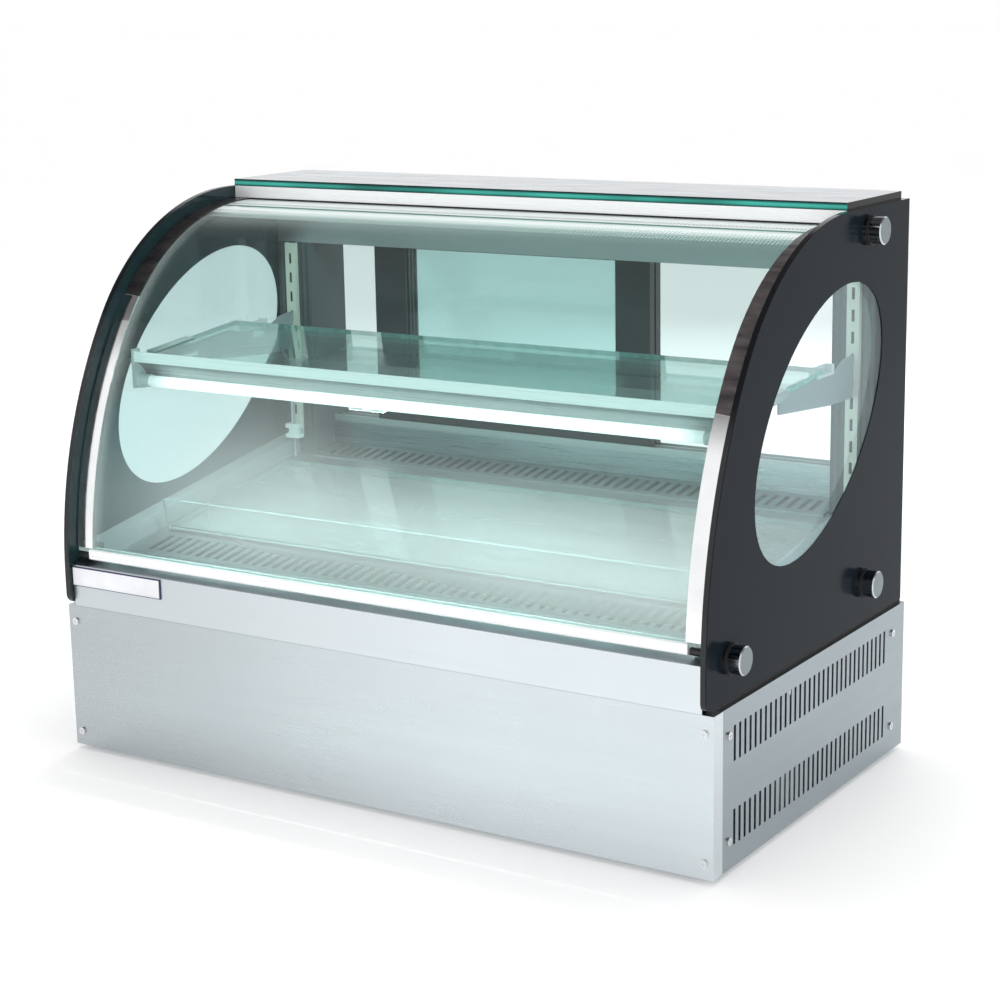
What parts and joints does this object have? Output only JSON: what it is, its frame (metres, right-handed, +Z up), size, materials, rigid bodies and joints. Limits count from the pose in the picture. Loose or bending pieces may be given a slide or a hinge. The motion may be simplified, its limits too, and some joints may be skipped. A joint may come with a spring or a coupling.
{
  "type": "refrigerated glass display showcase",
  "caption": "Countertop chilled display case: curved tilting front glass, oval-windowed side panels, rear sliding doors, lit glass shelf, sloping deck and a vented steel base.",
  "frame": {"origin": "on the floor under the centre of the whole cabinet, knobs included", "axes": "+X to the customer's right, +Y to the back, +Z up"},
  "size_m": [0.931, 0.526, 0.688],
  "materials": {
    "stainless": "brushed",
    "galvanised": "dull zinc",
    "screw_steel": "polished",
    "chrome": "polished, turned faces",
    "dark_chrome": "dark polished",
    "plate_face": "blank plate",
    "black_print": "glossy printed layer",
    "clear_glass": "clear float glass",
    "green_glass": "green-tinted float glass",
    "door_glass": "double pane",
    "top_glass": "backed plate glass",
    "acrylic": "clear acrylic",
    "white_alu": "pale satin",
    "silver_alu": "satin",
    "grey_plastic": "ribbed grey",
    "door_black": "satin black",
    "black_rubber": "matt",
    "black_plastic": "moulded",
    "switch_red": "moulded",
    "switch_green": "moulded",
    "cream_paint": "satin paint",
    "bracket_grey": "satin paint",
    "lamp_opal": "opal, lit",
    "white_plastic": "moulded",
    "lead_grey": "sleeved lead",
    "compressor_black": "black enamel",
    "fin_alu": "thin fins"
  },
  "bodies": {
    "cabinet": {"base_pan": "stainless", "front_panel": "stainless", "side_vent_panels": "stainless", "rear_base_panel": "stainless", "fascia": "stainless", "deck_frame": "stainless", "deck_grilles": "stainless", "tub_walls": "stainless", "rear_sill": "stainless", "insulated_floor": "galvanised", "condenser_fan_shroud": "galvanised", "evaporator_fan_shroud": "galvanised", "panel_screws": "screw_steel", "standoff_studs": "screw_steel", "standoff_caps": "chrome", "standoff_bases": "dark_chrome", "nameplate": "plate_face", "side_border_left": "black_print", "side_border_right": "black_print", "side_glass_left": "clear_glass", "side_glass_right": "clear_glass", "shelf_glass": "green_glass", "deck_glass": "green_glass", "top_glass": "top_glass", "stop_rail": "acrylic", "top_front_profile": "white_alu", "shelf_light_bar": "white_alu", "door_tracks": "silver_alu", "top_panel": "silver_alu", "rear_header": "silver_alu", "ceiling_lamp_housing": "silver_alu", "rear_posts": "grey_plastic", "feet": "black_rubber", "glass_seals": "black_rubber", "standoff_washers": "black_rubber", "cable_gland": "black_rubber", "hinge_blocks": "black_plastic", "control_panel": "black_plastic", "shelf_standards": "cream_paint", "shelf_brackets": "bracket_grey", "ceiling_lamp_diffuser": "lamp_opal", "shelf_light_tube": "lamp_opal", "shelf_fittings": "white_plastic", "lead_connector": "white_plastic", "shelf_light_lead": "lead_grey", "compressor": "compressor_black", "condenser_coil": "fin_alu", "evaporator_coil": "fin_alu"},
    "front_window": {"front_glass": "clear_glass", "front_glass_strips": "chrome", "front_glass_rail": "white_alu"},
    "inner_door": {"door_inner_frame": "door_black", "door_inner_glass": "door_glass"},
    "outer_door": {"door_outer_frame": "door_black", "door_outer_glass": "door_glass"},
    "condenser_fan_rotor": {"condenser_fan": "black_plastic"},
    "evaporator_fan_rotor": {"evaporator_fan": "black_plastic"},
    "power_rocker": {"power_switch": "switch_red"},
    "lamp_rocker": {"lamp_switch": "switch_green"},
    "thermostat_dial": {"thermostat_knob": "black_plastic"}
  },
  "joints": [
    {"name": "front_window_tilt", "type": "hinge", "parent": "cabinet", "child": "front_window", "pos_m": [0, -0.2425, 0.2515], "axis": [1, 0, 0], "range_deg": [0, 60]},
    {"name": "inner_door_slide", "type": "slide", "parent": "cabinet", "child": "inner_door", "axis": [1, 0, 0], "range_m": [-0.073, 0.268]},
    {"name": "outer_door_slide", "type": "slide", "parent": "cabinet", "child": "outer_door", "axis": [1, 0, 0], "range_m": [-0.073, 0.268]},
    {"name": "condenser_fan_spin", "type": "hinge", "parent": "cabinet", "child": "condenser_fan_rotor", "pos_m": [0.253, 0, 0.095], "axis": [1, 0, 0], "continuous": true},
    {"name": "evaporator_fan_spin", "type": "hinge", "parent": "cabinet", "child": "evaporator_fan_rotor", "pos_m": [-0.04, -0.004, 0.242], "axis": [0, 1, 0], "continuous": true},
    {"name": "power_rocker_tilt", "type": "hinge", "parent": "cabinet", "child": "power_rocker", "pos_m": [-0.275, 0.252, 0.12], "axis": [1, 0, 0], "range_deg": [0, 8]},
    {"name": "lamp_rocker_tilt", "type": "hinge", "parent": "cabinet", "child": "lamp_rocker", "pos_m": [-0.245, 0.252, 0.12], "axis": [1, 0, 0], "range_deg": [0, 8]},
    {"name": "thermostat_turn", "type": "hinge", "parent": "cabinet", "child": "thermostat_dial", "pos_m": [-0.195, 0.252, 0.12], "axis": [0, 1, 0], "range_deg": [0, 270]}
  ]
}
